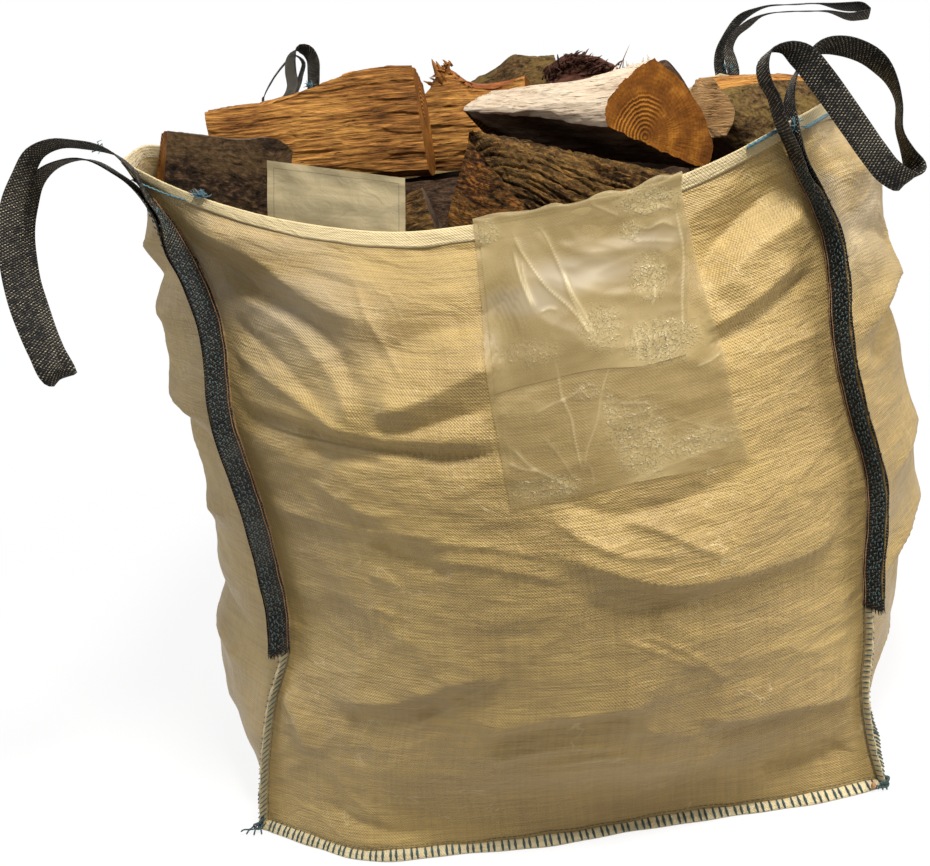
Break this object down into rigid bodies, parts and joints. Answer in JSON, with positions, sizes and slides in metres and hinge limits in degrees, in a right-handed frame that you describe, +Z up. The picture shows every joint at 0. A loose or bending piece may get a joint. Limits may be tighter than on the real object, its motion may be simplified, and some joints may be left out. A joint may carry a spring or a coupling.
{
  "type": "bulk bag of firewood",
  "caption": "Open-topped woven bulk bag with corner lift loops, filled and heaped with split firewood logs, with a front label and a film document pouch.",
  "frame": {"origin": "middle of the flat underside of the bag", "axes": "+Z up, -Y towards the front panel with the label and pouch, +X to the right seen from the front"},
  "size_m": [1.2871, 1.194, 1.133],
  "materials": {
    "woven_fabric": "satin woven polypropylene tape, beige",
    "webbing": "matt black webbing with beige flecks",
    "clear_film": "glossy clear film, crinkled",
    "label_paper": "matt thin paper",
    "bark": "rough furrowed bark",
    "split_wood": "rough split grain"
  },
  "bodies": {
    "root": {"front_panel": "woven_fabric", "right_panel": "woven_fabric", "back_panel": "woven_fabric", "left_panel": "woven_fabric", "base_panel": "woven_fabric", "front_left_strap": "webbing", "front_right_strap": "webbing", "back_right_strap": "webbing", "back_left_strap": "webbing", "label": "label_paper", "document_pouch": "clear_film", "log_dark_bark_left": "bark", "log_orange_split_left": "bark", "log_splintered_middle": "bark", "log_pale_on_top": "bark", "log_furrowed_front": "bark", "log_mossy_back": "bark", "log_dark_bark_middle": "bark", "log_olive_bark_right": "bark", "log_orange_right": "split_wood", "log_dark_under_label": "bark", "log_small_light_brown": "bark", "log_right_low": "bark", "log_right_back_low": "split_wood", "log_centre_low": "bark", "log_middle_low": "split_wood", "log_left_low": "bark", "log_left_back_low": "split_wood", "log_left_side": "bark", "log_left_back": "split_wood", "log_torn_dark": "bark", "log_back_left": "split_wood", "log_01": "split_wood", "log_02": "split_wood", "log_03": "bark", "log_04": "bark", "log_05": "split_wood", "log_06": "split_wood", "log_07": "bark", "log_08": "bark", "log_09": "split_wood", "log_10": "split_wood", "log_11": "bark", "log_12": "bark", "log_13": "split_wood", "log_14": "split_wood", "log_15": "bark", "log_16": "bark", "log_17": "split_wood", "log_18": "split_wood", "log_19": "bark", "log_20": "bark", "log_21": "split_wood", "log_22": "split_wood", "log_23": "bark", "log_24": "bark", "log_25": "split_wood", "log_26": "split_wood"}
  },
  "joints": []
}
